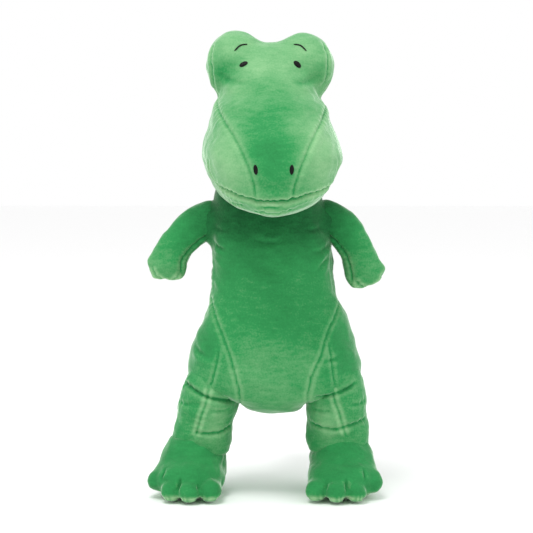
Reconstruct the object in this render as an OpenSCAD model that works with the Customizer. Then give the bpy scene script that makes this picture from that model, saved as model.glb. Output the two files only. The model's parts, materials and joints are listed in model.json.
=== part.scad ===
// Stuffed dinosaur, standing: sewn plush panels over fibre filling, with soft sewn joints.
// The toy faces -Y, +Z is up, and the origin is on the floor under the middle of its box.

/* [Overall] */
// Height of the middle of the neck above the floor
neck_z = 200; // [185:1:215]
// Radius of the rounded top of the neck inside the head
neck_r = 38; // [34:0.5:39.5]
// Height of the lowest point of the belly above the floor
crotch_z = 57; // [50:1:62]
// Half width of the hips, where the torso is widest
hip_half_w = 60; // [52:1:66]
// Half width of the chest under the arms
chest_half_w = 42; // [37:1:46]
// Half depth of the belly from front to back
belly_half_d = 41; // [36:1:45]
// Half width of the belly panel at its lower end
belly_panel_half_w = 19; // [15:1:21]

/* [Fabric] */
// Thickness of the plush fabric with its backing
skin_t = 1.6; // [1:0.1:2.4]
// Gap left between two panels along a seam
seam_gap = 0.3; // [0.2:0.05:0.6]
// Gap between the fabric and the filling
fill_gap = 0.3; // [0.2:0.1:0.6]
// Clearance around every soft joint
joint_gap = 1; // [0.7:0.1:1.6]

/* [Head] */
// Half width of the muzzle across the cheeks
muzzle_half_w = 46.5; // [40:0.5:50]
// Half width of the head between the brow domes and the cheeks
skull_half_w = 35; // [31:0.5:38]
// How far the muzzle reaches in front of the neck
muzzle_reach = 97; // [84:1:108]
// How far the back of the head reaches behind the neck
nape_reach = 45; // [41:1:52]
// Height from the middle of the neck to the notch between the brow domes
skull_h = 108; // [98:1:116]
// Half width of one brow dome
dome_half_w = 19.5; // [16:0.5:22]
// Height of the top of the brow domes above the notch
dome_rise = 12; // [8:0.5:16]
// Half width of the nose end of the face panel
nose_half_w = 11; // [8:0.5:14]

/* [Face] */
// Length of an embroidered eye
eye_l = 5.8; // [4:0.1:8]
// Width of an embroidered eye
eye_w = 3.6; // [2.5:0.1:5]
// Distance between the eyes
eye_spacing = 37; // [30:1:44]
// Length of an embroidered nostril
nostril_l = 6.6; // [4:0.1:8]
// Width of an embroidered nostril
nostril_w = 3; // [2:0.1:4]
// Distance between the nostrils
nostril_spacing = 23; // [18:1:28]
// Thickness of the thread of a brow
brow_t = 1.1; // [0.8:0.1:1.6]
// Span of a brow from end to end
brow_l = 9.5; // [7:0.5:12]
// How far the embroidery stands out of the fabric
thread_rise = 0.7; // [0.5:0.1:1.2]

/* [Arms] */
// Radius of an arm at the shoulder
arm_r = 13.5; // [11:0.5:15]
// Length of an arm from the shoulder to the tip of the paw
arm_l = 58; // [48:1:66]
// How far the shoulders are below the middle of the neck
shoulder_drop = 10; // [4:1:20]
// Distance between the shoulders
shoulder_spacing = 78; // [72:1:84]
// How far the right arm hangs out from straight down
arm_out_right = 42; // [40:1:60]
// How far the left arm hangs out from straight down
arm_out_left = 37; // [36:1:60]

/* [Legs] */
// Radius of a leg
leg_r = 20.5; // [17:0.5:22]
// Distance between the hips
hip_spacing = 87; // [84:1:96]
// Height of the hips above the floor
hip_z = 75; // [70:1:82]
// Distance between the ankles
ankle_spacing = 96; // [90:1:104]
// Height of the ankle seam above the floor
ankle_z = 38; // [34:1:42]
// Length of a foot from heel to toe tips
foot_l = 68; // [60:1:76]
// Width of a foot across the toes
foot_w = 51; // [46:1:56]
// Height of the toes
toe_h = 17; // [14:0.5:20]
// How deep the clefts between the toes are
toe_cleft = 2.4; // [1:0.2:4]
// How far the right foot turns out
toe_out_right = 13; // [0:1:32]
// How far the left foot turns out
toe_out_left = 4; // [0:1:32]

/* [Tail] */
// Radius of the tail at its root
tail_r = 20; // [16:0.5:22]
// Length of the tail from its root
tail_l = 92; // [75:1:110]
// Height of the root of the tail above the floor
tail_z = 98; // [90:1:112]
// How far the tail droops below level
tail_droop = 12; // [0:1:20]

/* [Hidden] */

// The middle of the box lies between the muzzle tip and the tail tip
tail_y = 0.86 * belly_half_d;
tail_tip_y = tail_y + tail_l * cos(tail_droop) + 1;
body_y = (muzzle_reach - tail_tip_y) / 2;
hip_y = 1;
ankle_y = -3;
far = 400;

// A closed loft through rings of points, from the lowest ring to the highest
module loft(rings) {
    n = len(rings[0]);
    m = len(rings);
    polyhedron(
        points = [for (r = rings) each r],
        faces = concat(
            [[for (i = [0:n - 1]) i]],
            [[for (i = [n - 1:-1:0]) (m - 1) * n + i]],
            [for (j = [0:m - 2]) for (i = [0:n - 1])
                [j * n + i, (j + 1) * n + i, (j + 1) * n + (i + 1) % n]],
            [for (j = [0:m - 2]) for (i = [0:n - 1])
                [j * n + i, (j + 1) * n + (i + 1) % n, j * n + (i + 1) % n]]
        )
    );
}

function signed_power(v, e) = sign(v) * pow(abs(v), e);

// A rounded ring: height, middle, half width, half depth, and squareness (2 is an ellipse)
function oval(z, y, w, d, e = 2, n = 32, x = 0) = [
    for (i = [0:n - 1])
    let (a = 360 * (i + 0.5) / n)
    [x + w * signed_power(cos(a), 2 / e), y + d * signed_power(sin(a), 2 / e), z]
];

// A soft piece is one mesh, since no bore or pin depends on its surface
module soft() {
    minkowski() {
        union() {
            children();
        }
    }
}

// Moves a height inwards by t at the ends of a shape and less towards its middle
function inwards(z, low, high, t) = z + t * (low + high - 2 * z) / (high - low);

// Everything on one side of x: side 1 keeps the toy's left, side -1 its right
module side_of(side, gap) {
    translate([side > 0 ? gap / 2 : -far - gap / 2, -far, -far])
        cube([far, 2 * far, 2 * far]);
}

// ---- Head ----

// One level of the head, t inside its surface: h is a share of the head above the neck
head_low = -0.065;
function head_row(t, h, w, front, back, e) =
    oval(neck_z + inwards(h * skull_h, head_low * skull_h, skull_h, t), (back - front) / 2,
        w - t, (front + back) / 2 - t, e, 24);

function head_rows(t) =
    let (w = muzzle_half_w, s = skull_half_w, f = muzzle_reach, b = nape_reach)
    [
        head_row(t, head_low, 0.28 * w, 0.78 * f, -0.95 * b, 2),
        head_row(t, -0.02, 0.56 * w, 0.87 * f, -0.72 * b, 2.1),
        head_row(t, 0.04, 0.74 * w, 0.93 * f, -0.3 * b, 2.2),
        head_row(t, 0.09, 0.85 * w, 0.965 * f, 0.45 * b, 2.3),
        head_row(t, 0.15, 0.93 * w, 0.99 * f, 0.72 * b, 2.4),
        head_row(t, 0.24, w, f, 0.92 * b, 2.4),
        head_row(t, 0.34, 0.98 * w, 0.965 * f, b, 2.4),
        head_row(t, 0.44, 0.94 * w, 0.89 * f, 1.02 * b, 2.3),
        head_row(t, 0.54, 0.865 * w, 0.79 * f, 1.02 * b, 2.3),
        head_row(t, 0.69, s, 0.62 * f, b, 2.3),
        head_row(t, 0.8, s + 2, 0.48 * f, 0.93 * b, 2.3),
        head_row(t, 0.9, s, 0.37 * f, 0.8 * b, 2.3),
        head_row(t, 0.97, 0.82 * s, 0.27 * f, 0.6 * b, 2.2),
        head_row(t, 1, 0.6 * s, 0.18 * f, 0.42 * b, 2)
    ];
mouth_z = neck_z + 0.08 * skull_h;
cheek_top_z = neck_z + 0.7 * skull_h;
// How far in front of the neck the side seams of the head run
ear_y = 12;
dome_at = [24, -8, neck_z + skull_h + dome_rise - 23];
dome_half = [dome_half_w, 26, 23];

module head_shape(t) {
    loft(head_rows(t));
    for (s = [-1, 1])
        translate([s * dome_at[0], dome_at[1], dome_at[2]])
            scale(dome_half - [t, t, t])
            sphere(r = 1, $fn = 24);
}

module head_shell() {
    difference() {
        head_shape(0);
        head_shape(skin_t);
        translate([0, 0, neck_z])
            sphere(r = neck_r + joint_gap, $fn = 24);
    }
}

// Front outline of the face panel, which narrows from the brows to the nose
module face_outline(grow) {
    h = neck_z;
    w = skull_half_w + 1 + grow;
    n = nose_half_w + grow;
    translate([0, -ear_y - seam_gap / 2, 0])
        rotate([90, 0, 0])
        linear_extrude(far)
        polygon([
            [-n, 0], [n, 0], [n, h + 0.25 * skull_h],
            [0.5 * w, h + 0.43 * skull_h], [0.72 * w, h + 0.59 * skull_h],
            [w, h + 0.77 * skull_h], [w + 3, h + 0.91 * skull_h], [w + 3, far],
            [-w - 3, far], [-w - 3, h + 0.91 * skull_h], [-w, h + 0.77 * skull_h],
            [-0.72 * w, h + 0.59 * skull_h], [-0.5 * w, h + 0.43 * skull_h],
            [-n, h + 0.25 * skull_h]
        ]);
}

// The part of the head in front of the side seams, between two heights
module head_front(low, high) {
    translate([-far, -far - ear_y - seam_gap / 2, low])
        cube([2 * far, far, high - low]);
}

module face_panel() {
    color("#4ca065")
        soft()
        intersection() {
            head_shell();
            face_outline(0);
            head_front(mouth_z, far);
        }
}

module cheek_panel(side) {
    color("#5aa972")
        soft()
        intersection() {
            difference() {
                head_shell();
                face_outline(seam_gap);
            }
            head_front(mouth_z, cheek_top_z);
            side_of(side, seam_gap);
        }
}

module right_cheek_panel() {
    cheek_panel(-1);
}

module left_cheek_panel() {
    cheek_panel(1);
}

module jaw_panel() {
    color("#44a164")
        soft()
        intersection() {
            head_shell();
            head_front(0, mouth_z - seam_gap);
        }
}

module head_back_panel(side) {
    color("#4a9e63")
        soft()
        intersection() {
            difference() {
                head_shell();
                face_outline(seam_gap);
                head_front(0, cheek_top_z + seam_gap);
            }
            side_of(side, seam_gap);
        }
}

module right_head_back_panel() {
    head_back_panel(-1);
}

module left_head_back_panel() {
    head_back_panel(1);
}

module head_filling() {
    color("#f2efe6")
        soft()
        difference() {
            head_shape(skin_t + fill_gap);
            translate([0, 0, neck_z])
                sphere(r = neck_r + joint_gap + fill_gap, $fn = 24);
        }
}

stitch_gap = 0.1;
eye_z = neck_z + 0.885 * skull_h;
eye_slant = 35;
brow_z = neck_z + 0.925 * skull_h;
nostril_z = neck_z + 0.23 * skull_h;
nostril_slant = 8;

// A patch of embroidery on the face, cut by a shape drawn in the front plane
module stitched(x, z, turn) {
    color("#161616")
        soft()
        intersection() {
            difference() {
                head_shape(-stitch_gap - thread_rise);
                head_shape(-stitch_gap);
            }
            translate([x, -ear_y, z])
                rotate([90, turn, 0])
                linear_extrude(far)
                children();
        }
}

module eye(side) {
    stitched(side * eye_spacing / 2, eye_z, side * eye_slant)
        scale([eye_l / eye_w, 1])
        circle(d = eye_w, $fn = 20);
}

module right_eye() {
    eye(-1);
}

module left_eye() {
    eye(1);
}

module brow(side) {
    brow_r = 0.75 * brow_l;
    stitched(side * (eye_spacing / 2 + 1), brow_z, 0)
        intersection() {
            difference() {
                circle(r = brow_r, $fn = 32);
                circle(r = brow_r - brow_t, $fn = 24);
            }
            translate([-brow_l / 2, 0])
                square([brow_l, brow_l]);
        }
}

module right_brow() {
    brow(-1);
}

module left_brow() {
    brow(1);
}

module nostril(side) {
    stitched(side * nostril_spacing / 2, nostril_z, 90 + side * nostril_slant)
        scale([nostril_l / nostril_w, 1])
        circle(d = nostril_w, $fn = 20);
}

module right_nostril() {
    nostril(-1);
}

module left_nostril() {
    nostril(1);
}

// ---- Torso ----

// One level of the torso, t inside its surface: h is a share of the way up to the neck
function torso_row(t, h, w, d, e) =
    oval(crotch_z + inwards(h * (neck_z - crotch_z), 0, neck_z - crotch_z, t), 0,
        w - t, d * belly_half_d - t, e, 24);

function torso_rows(t) =
    let (w = hip_half_w, c = chest_half_w)
    [
        torso_row(t, 0, 0.5 * w, 0.5, 2),
        torso_row(t, 0.03, 0.75 * w, 0.72, 2.1),
        torso_row(t, 0.09, 0.92 * w, 0.88, 2.2),
        torso_row(t, 0.17, 0.99 * w, 0.97, 2.2),
        torso_row(t, 0.27, 0.99 * w, 1, 2.2),
        torso_row(t, 0.38, 0.92 * w, 1, 2.2),
        torso_row(t, 0.5, 0.5 * w + 0.45 * c, 0.97, 2.2),
        torso_row(t, 0.62, 1.05 * c, 0.93, 2.2),
        torso_row(t, 0.75, c, 0.89, 2.2),
        torso_row(t, 0.86, 0.98 * c, 0.84, 2.1),
        torso_row(t, 0.95, 0.9 * c, 0.76, 2),
        torso_row(t, 1, 0.78 * c, 0.7, 2)
    ];

// How far below the middle of the neck the collar seam runs
collar_drop = 4;
// Clearance between a gusset and the panels round it
gusset_gap = 0.2;

module torso_shape(t) {
    loft(torso_rows(t));
    translate([0, 0, neck_z])
        sphere(r = neck_r - t, $fn = 24);
}

// Free room for a limb whose ball has radius r, over its swing
module swing_room(r, reach, turns) {
    hull() {
        sphere(r = r, $fn = 18);
        for (a = turns)
            rotate(a)
                translate([0, 0, -reach])
                sphere(r = r, $fn = 18);
    }
}

shoulder_z = neck_z - shoulder_drop;

module arm_place(side) {
    translate([side * shoulder_spacing / 2, 0, shoulder_z])
        children();
}

module leg_place(side) {
    translate([side * hip_spacing / 2, hip_y, hip_z])
        children();
}

module tail_place() {
    translate([0, tail_y, tail_z])
        children();
}

function arm_out(side) = side > 0 ? arm_out_left : arm_out_right;

// The swings go a little past the joints' limits, and each room reaches past the panels beside it
arm_turns = [[-55, -18], [-18, 18], [18, 38]];
arm_room_reach = 2 * arm_r;
leg_turns = [[-44, 0, 0], [0, 0, 0], [28, 0, 0]];
leg_room_reach = 1.65 * leg_r;
tail_turns = [-27, 0, 27];
tail_room_reach = 1.5 * tail_r;

module arm_room(side, g) {
    arm_place(side)
        for (pair = arm_turns)
            hull() {
                sphere(r = arm_r + joint_gap + g, $fn = 18);
                for (a = pair)
                    rotate([a, 0, 0])
                        rotate([0, -side * arm_out(side), 0])
                        translate([0, 0, -arm_room_reach])
                        sphere(r = arm_r + joint_gap + g, $fn = 18);
            }
}

module leg_room(side, g) {
    leg_place(side)
        swing_room(leg_r + joint_gap + g, leg_room_reach, leg_turns);
}

module tail_room(g) {
    tail_place()
        swing_room(tail_r + joint_gap + g, tail_room_reach,
            [for (a = tail_turns) [90 - tail_droop, 0, a]]);
}

module torso_rooms(g) {
    for (s = [-1, 1]) {
        arm_room(s, g);
        leg_room(s, g);
    }
    tail_room(g);
}

module torso_shell() {
    difference() {
        torso_shape(0);
        torso_shape(skin_t);
        torso_rooms(0);
        translate([-far, -far, neck_z - collar_drop])
            cube([2 * far, 2 * far, far]);
    }
}

// Front outline of the belly panel, a shield that widens upwards to the chest
belly_spread = 28;
// Outline of its left half: share of the spread, and share of the way up to the neck
belly_steps = [[0, -1], [0, 0.1], [0.1, 0.26], [0.29, 0.36], [0.6, 0.49], [1, 0.62], [1, 2]];

module belly_outline(grow) {
    b = belly_panel_half_w + grow;
    h = neck_z - crotch_z;
    rotate([90, 0, 0])
        linear_extrude(far)
        polygon(concat(
            [for (p = belly_steps) [b + p[0] * belly_spread, crotch_z + p[1] * h]],
            [for (i = [len(belly_steps) - 1:-1:0])
                [-b - belly_steps[i][0] * belly_spread, crotch_z + belly_steps[i][1] * h]]
        ));
}

module belly_panel() {
    color("#3a9658")
        soft()
        intersection() {
            torso_shell();
            belly_outline(0);
        }
}

module back_panel(side) {
    color("#2f8a4d")
        soft()
        intersection() {
            difference() {
                torso_shell();
                belly_outline(seam_gap);
            }
            side_of(side, seam_gap);
        }
}

module right_back_panel() {
    back_panel(-1);
}

module left_back_panel() {
    back_panel(1);
}

module neck_gusset() {
    color("#267a42")
        soft()
        difference() {
            translate([0, 0, neck_z])
                sphere(r = neck_r, $fn = 24);
            translate([0, 0, neck_z])
                sphere(r = neck_r - skin_t, $fn = 24);
            translate([-far, -far, -far])
                cube([2 * far, 2 * far, far + neck_z - collar_drop + seam_gap]);
            arm_room(-1, 0);
            arm_room(1, 0);
        }
}

// The fabric that closes the torso behind a limb
module gusset_of() {
    color("#267a42")
        soft()
        intersection() {
            torso_shape(skin_t + gusset_gap);
            children();
        }
}

module shoulder_gusset(side) {
    gusset_of()
        difference() {
            arm_room(side, skin_t);
            arm_room(side, 0);
        }
}

module right_shoulder_gusset() {
    shoulder_gusset(-1);
}

module left_shoulder_gusset() {
    shoulder_gusset(1);
}

module hip_gusset(side) {
    gusset_of()
        difference() {
            leg_room(side, skin_t);
            leg_room(side, 0);
        }
}

module right_hip_gusset() {
    hip_gusset(-1);
}

module left_hip_gusset() {
    hip_gusset(1);
}

module tail_gusset() {
    gusset_of()
        difference() {
            tail_room(skin_t);
            tail_room(0);
        }
}

seat_bag_half = [14, 20, 12];
seat_bag_at = [0, -6, crotch_z + seat_bag_half[2] + 4];
bag_gap = 0.5;

module pellet_bag(place, half) {
    translate(place)
        scale(half)
        sphere(r = 1, $fn = 18);
}

// The pocket for a bag is open downwards, onto the fabric under it
module bag_pocket(place, half, drop) {
    hull() {
        pellet_bag(place, half + [bag_gap, bag_gap, bag_gap]);
        pellet_bag(place - [0, 0, drop], half + [bag_gap, bag_gap, bag_gap]);
    }
}

module torso_filling() {
    color("#f2efe6")
        soft()
        difference() {
            torso_shape(skin_t + fill_gap);
            torso_rooms(skin_t + fill_gap);
            bag_pocket(seat_bag_at, seat_bag_half, seat_bag_at[2] - crotch_z + seat_bag_half[2]);
        }
}

module seat_pellet_bag() {
    color("#d8d2c0")
        soft()
        pellet_bag(seat_bag_at, seat_bag_half);
}

// A ladder of hand stitches that closes the back seam: its length, the step and span of a stitch,
// the thread, and how far it stands off the fabric
ladder_l = 42;
ladder_step = 6.5;
ladder_span = 4.4;
ladder_thread = 1;
ladder_z = neck_z - 30 - ladder_l;
ladder_gap = 0.2;
ladder_rise = 0.7;

module back_closing_stitches() {
    color("#1f6b38")
        soft()
        intersection() {
            difference() {
                torso_shape(-ladder_gap - ladder_rise);
                torso_shape(-ladder_gap);
            }
            union() {
                translate([-ladder_thread / 2, 0, ladder_z])
                    cube([ladder_thread, far, ladder_l]);
                for (z = [ladder_thread:ladder_step:ladder_l - ladder_thread])
                    translate([-ladder_span / 2, 0, ladder_z + z])
                        cube([ladder_span, far, ladder_thread]);
            }
        }
}

// ---- Arms ----

// Rings of the arm, from the tip of the paw up over the shoulder ball, t inside
function arm_rows(t) =
    let (r = arm_r, l = arm_l)
    concat(
        [
            oval(t - l, 0, 0.3 * r - t / 2, 0.24 * r - t / 2, 2, 18),
            oval(-0.94 * l + t / 2, 0, 0.66 * r - t, 0.52 * r - t, 2, 18),
            oval(-0.8 * l, 0, 0.92 * r - t, 0.76 * r - t, 2, 18),
            oval(-0.6 * l, 0, 0.98 * r - t, 0.86 * r - t, 2, 18),
            oval(-0.3 * l, 0, 0.96 * r - t, 0.9 * r - t, 2, 18)
        ],
        [for (a = [0:25:75]) oval((r - t) * sin(a), 0, (r - t) * cos(a), (r - t) * cos(a), 2, 18)]
    );

module arm_shape(side, t) {
    loft(arm_rows(t));
    translate([side * 0.5 * arm_r, 0, -0.74 * arm_l])
        sphere(r = 0.66 * arm_r - t, $fn = 18);
}

module arm_panel(side, back) {
    color("#349e63")
        soft()
        arm_place(side)
        rotate([0, -side * arm_out(side), 0])
        intersection() {
            difference() {
                arm_shape(side, 0);
                arm_shape(side, skin_t);
            }
            translate([-far, back ? seam_gap / 2 : -far - seam_gap / 2, -far])
                cube([2 * far, far, 2 * far]);
        }
}

module arm_filling(side) {
    color("#f2efe6")
        soft()
        arm_place(side)
        rotate([0, -side * arm_out(side), 0])
        arm_shape(side, skin_t + fill_gap);
}

module right_arm_front_panel() {
    arm_panel(-1, false);
}

module right_arm_back_panel() {
    arm_panel(-1, true);
}

module right_arm_filling() {
    arm_filling(-1);
}

module left_arm_front_panel() {
    arm_panel(1, false);
}

module left_arm_back_panel() {
    arm_panel(1, true);
}

module left_arm_filling() {
    arm_filling(1);
}

// ---- Legs ----

leg_drop = hip_z - ankle_z;
leg_splay = (ankle_spacing - hip_spacing) / 2;

function leg_rows(side, t) = concat(
    [oval(ankle_z + seam_gap + t, ankle_y, leg_r - t, leg_r - t, 2, 20, side * ankle_spacing / 2)],
    [
        oval(ankle_z + 0.5 * leg_drop, (ankle_y + hip_y) / 2, leg_r - t, leg_r - t, 2, 20,
            side * (hip_spacing + leg_splay) / 2)
    ],
    [
        for (a = [0:18:72])
        oval(hip_z + (leg_r - t) * sin(a), hip_y, (leg_r - t) * cos(a), (leg_r - t) * cos(a), 2, 20,
            side * hip_spacing / 2)
    ],
    [oval(hip_z + leg_r - t, hip_y, 1, 1, 2, 20, side * hip_spacing / 2)]
);

// side is the toy's side, half 1 keeps the toy's left half of the leg
module leg_panel(side, half) {
    color("#2f9554")
        soft()
        intersection() {
            difference() {
                loft(leg_rows(side, 0));
                loft(leg_rows(side, skin_t));
            }
            translate([side * (hip_spacing + leg_splay) / 2, 0, 0])
                side_of(half, seam_gap);
        }
}

module right_leg_outer_panel() {
    leg_panel(-1, -1);
}

module right_leg_inner_panel() {
    leg_panel(-1, 1);
}

module right_leg_filling() {
    color("#f2efe6")
        soft()
        loft(leg_rows(-1, skin_t + fill_gap));
}

module left_leg_outer_panel() {
    leg_panel(1, 1);
}

module left_leg_inner_panel() {
    leg_panel(1, -1);
}

module left_leg_filling() {
    color("#f2efe6")
        soft()
        loft(leg_rows(1, skin_t + fill_gap));
}

// ---- Feet ----

heel_y = 0.33 * foot_l;

// Outline of a foot with four toes: a is the direction, s the share of full size
function foot_reach(a, s) =
    let (
        front = a > 180 && a < 360,
        toe = front ? abs(sin((a - 180) * 4)) : 1,
        wide = 0.5 * foot_w * (1 - 0.1 * sin(a)),
        long = 0.5 * foot_l
    )
    [
        (s * wide - (front ? toe_cleft * (1 - toe) * abs(cos(a)) : 0)) * signed_power(cos(a), 0.85),
        heel_y - long + (s * long - (front ? toe_cleft * (1 - toe) : 0)) * signed_power(sin(a), 0.85)
    ];

// Blends the foot outline (b = 0) into the round ankle (b = 1)
function foot_ring(z, s, b, t) = [
    for (i = [0:31])
    let (a = 360 * i / 32, p = foot_reach(a, s - 2 * t / foot_l))
    [p[0] * (1 - b) + (leg_r - t) * cos(a) * b, p[1] * (1 - b) + (leg_r - t) * sin(a) * b, z]
];

function foot_rows(t) = [
    foot_ring(t, 0.95, 0, t),
    foot_ring(0.2 * toe_h + 0.5 * t, 1, 0, t),
    foot_ring(0.7 * toe_h, 0.99, 0, t),
    foot_ring(toe_h - 0.5 * t, 0.9, 0.08, t),
    foot_ring(1.2 * toe_h - t, 0.84, 0.36, t),
    foot_ring(toe_h + 0.5 * (ankle_z - toe_h) - 0.5 * t, 0.9, 0.75, t),
    foot_ring(ankle_z - t, 0.9, 1, t)
];

module foot_place(side) {
    translate([side * ankle_spacing / 2, ankle_y, 0])
        rotate([0, 0, side * (side > 0 ? toe_out_left : toe_out_right)])
        children();
}

module foot_upper(side) {
    color("#2b9553")
        soft()
        foot_place(side)
        difference() {
            loft(foot_rows(0));
            loft(foot_rows(skin_t));
            translate([-far, -far, -far])
                cube([2 * far, 2 * far, far + skin_t + seam_gap]);
        }
}

module foot_sole(side) {
    color("#238046")
        soft()
        foot_place(side)
        intersection() {
            loft(foot_rows(0));
            translate([-far, -far, -far])
                cube([2 * far, 2 * far, far + skin_t]);
        }
}

foot_bag_half = [14, 18, 7];
foot_bag_at = [0, -6, skin_t + foot_bag_half[2] + 3.4];

module foot_filling(side) {
    color("#f2efe6")
        soft()
        foot_place(side)
        difference() {
            loft(foot_rows(skin_t + fill_gap));
            bag_pocket(foot_bag_at, foot_bag_half, foot_bag_at[2] + foot_bag_half[2]);
        }
}

module foot_pellet_bag(side) {
    color("#d8d2c0")
        soft()
        foot_place(side)
        pellet_bag(foot_bag_at, foot_bag_half);
}

module right_foot_upper() {
    foot_upper(-1);
}

module right_foot_sole() {
    foot_sole(-1);
}

module right_foot_filling() {
    foot_filling(-1);
}

module right_foot_pellet_bag() {
    foot_pellet_bag(-1);
}

module left_foot_upper() {
    foot_upper(1);
}

module left_foot_sole() {
    foot_sole(1);
}

module left_foot_filling() {
    foot_filling(1);
}

module left_foot_pellet_bag() {
    foot_pellet_bag(1);
}

// ---- Tail ----

function tail_rows(t) = concat(
    [for (a = [-75:25:-25]) oval((tail_r - t) * sin(a), 0, (tail_r - t) * cos(a),
        (tail_r - t) * cos(a), 2, 20)],
    [
        oval(0, 0, tail_r - t, tail_r - t, 2, 20),
        oval(0.25 * tail_l, 0, 0.92 * tail_r - t, 0.92 * tail_r - t, 2, 20),
        oval(0.5 * tail_l, 0, 0.74 * tail_r - t, 0.74 * tail_r - t, 2, 20),
        oval(0.75 * tail_l, 0, 0.5 * tail_r - t, 0.5 * tail_r - t, 2, 20),
        oval(0.93 * tail_l - t, 0, 0.28 * tail_r - t, 0.28 * tail_r - t, 2, 20),
        oval(tail_l - t, 0, 0.12 * tail_r - 0.3 * t, 0.12 * tail_r - 0.3 * t, 2, 20)
    ]
);

module tail_pose() {
    tail_place()
        rotate([-90 - tail_droop, 0, 0])
        children();
}

module tail_panel(side) {
    color("#349a58")
        soft()
        intersection() {
            tail_pose()
                difference() {
                    loft(tail_rows(0));
                    loft(tail_rows(skin_t));
                }
            side_of(side, seam_gap);
        }
}

module right_tail_panel() {
    tail_panel(-1);
}

module left_tail_panel() {
    tail_panel(1);
}

module tail_filling() {
    color("#f2efe6")
        soft()
        tail_pose()
        loft(tail_rows(skin_t + fill_gap));
}

// ---- Assembly ----

translate([0, body_y, 0]) {
    face_panel();
    right_cheek_panel();
    left_cheek_panel();
    jaw_panel();
    right_head_back_panel();
    left_head_back_panel();
    head_filling();
    right_eye();
    left_eye();
    right_brow();
    left_brow();
    right_nostril();
    left_nostril();
    belly_panel();
    right_back_panel();
    left_back_panel();
    torso_filling();
    neck_gusset();
    right_shoulder_gusset();
    left_shoulder_gusset();
    right_hip_gusset();
    left_hip_gusset();
    tail_gusset();
    seat_pellet_bag();
    back_closing_stitches();
    right_arm_front_panel();
    right_arm_back_panel();
    right_arm_filling();
    left_arm_front_panel();
    left_arm_back_panel();
    left_arm_filling();
    right_leg_outer_panel();
    right_leg_inner_panel();
    right_leg_filling();
    left_leg_outer_panel();
    left_leg_inner_panel();
    left_leg_filling();
    right_foot_upper();
    right_foot_sole();
    right_foot_filling();
    right_foot_pellet_bag();
    left_foot_upper();
    left_foot_sole();
    left_foot_filling();
    left_foot_pellet_bag();
    right_tail_panel();
    left_tail_panel();
    tail_filling();
}
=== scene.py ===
import json
import bpy
import numpy as np
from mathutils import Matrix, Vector


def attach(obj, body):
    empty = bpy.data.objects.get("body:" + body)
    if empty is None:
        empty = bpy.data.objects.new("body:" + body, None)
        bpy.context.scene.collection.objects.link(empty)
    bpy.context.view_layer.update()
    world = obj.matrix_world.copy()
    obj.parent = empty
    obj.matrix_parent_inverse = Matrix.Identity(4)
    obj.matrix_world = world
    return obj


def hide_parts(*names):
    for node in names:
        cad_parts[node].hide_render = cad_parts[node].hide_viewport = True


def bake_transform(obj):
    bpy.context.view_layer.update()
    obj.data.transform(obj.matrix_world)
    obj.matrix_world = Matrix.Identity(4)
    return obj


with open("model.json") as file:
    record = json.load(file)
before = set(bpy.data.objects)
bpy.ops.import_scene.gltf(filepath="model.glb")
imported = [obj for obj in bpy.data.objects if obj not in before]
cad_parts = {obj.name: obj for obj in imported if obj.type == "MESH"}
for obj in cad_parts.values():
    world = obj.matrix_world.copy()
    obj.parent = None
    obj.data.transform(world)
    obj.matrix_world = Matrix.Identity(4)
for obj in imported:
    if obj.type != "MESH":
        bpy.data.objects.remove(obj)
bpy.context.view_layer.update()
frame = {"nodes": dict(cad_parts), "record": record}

# The shapes below are worked out in millimetres round the toy's own middle line,
# which stands on the floor where the neck's hinge is, and go to metres in the mesh.
pivots = {j["name"]: np.array(j["pos_m"]) * 1000 for j in frame["record"]["behaviour"]["joints"]}
middleY = pivots["neck_nod"][1]
middle = np.array([0.0, middleY, 0.0])
neckZ = pivots["neck_nod"][2]
rows = 1.0


def linear(hexColour):
    # sRGB hex to the linear values that a shader wants
    values = [int(hexColour[k:k + 2], 16) / 255 for k in (1, 3, 5)]
    return [v / 12.92 if v <= 0.04045 else ((v + 0.055) / 1.055) ** 2.4 for v in values] + [1.0]


def addNode(tree, kind, links=(), **settings):
    # One node with its settings; links are (input, source socket or value)
    node = tree.nodes.new(kind)
    for key, value in settings.items():
        setattr(node, key, value)
    for socket, source in links:
        if isinstance(source, bpy.types.NodeSocket):
            tree.links.new(source, node.inputs[socket])
        else:
            node.inputs[socket].default_value = source
    return node


def smoothThrough(t, xs, ys):
    # A cubic through the points; the slope at each is the mean of its neighbours', or 0 at a peak
    xs, ys = np.asarray(xs, float), np.asarray(ys, float)
    steps = np.diff(xs)
    slopes = np.diff(ys) / steps
    bends = np.concatenate([[slopes[0]], (slopes[:-1] + slopes[1:]) / 2, [slopes[-1]]])
    bends[1:-1][slopes[:-1] * slopes[1:] <= 0] = 0
    k = np.clip(np.searchsorted(xs, t) - 1, 0, len(xs) - 2)
    h = steps[k]
    f = np.clip((t - xs[k]) / h, 0, 1)
    a = (2 * f**3 - 3 * f**2 + 1) * ys[k] + (f**3 - 2 * f**2 + f) * h * bends[k]
    return a + (3 * f**2 - 2 * f**3) * ys[k + 1] + (f**3 - f**2) * h * bends[k + 1]


def joined(a, b, blend):
    # The lesser of two distances, rounded over a width where they are near each other
    h = np.clip(0.5 + 0.5 * (b - a) / blend, 0, 1)
    return b * (1 - h) + a * h - blend * h * (1 - h)


def cutBy(a, b, blend):
    return -joined(-a, -b, blend)


def ball(p, at, radii):
    # About the distance to an ellipsoid: its scaled radius less one, over the slope of that
    q = (p - np.asarray(at)) / np.asarray(radii)
    size = np.linalg.norm(q, axis=-1) + 1e-9
    return size * (size - 1) / (np.linalg.norm(q / np.asarray(radii), axis=-1) + 1e-9)


def rod(p, a, b, r):
    # Distance to a round-ended rod from a to b
    a, b = np.asarray(a, float), np.asarray(b, float)
    t = np.clip(((p - a) @ (b - a)) / ((b - a) @ (b - a)), 0, 1)
    return np.linalg.norm(p - a - t[..., None] * (b - a), axis=-1) - r


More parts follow.
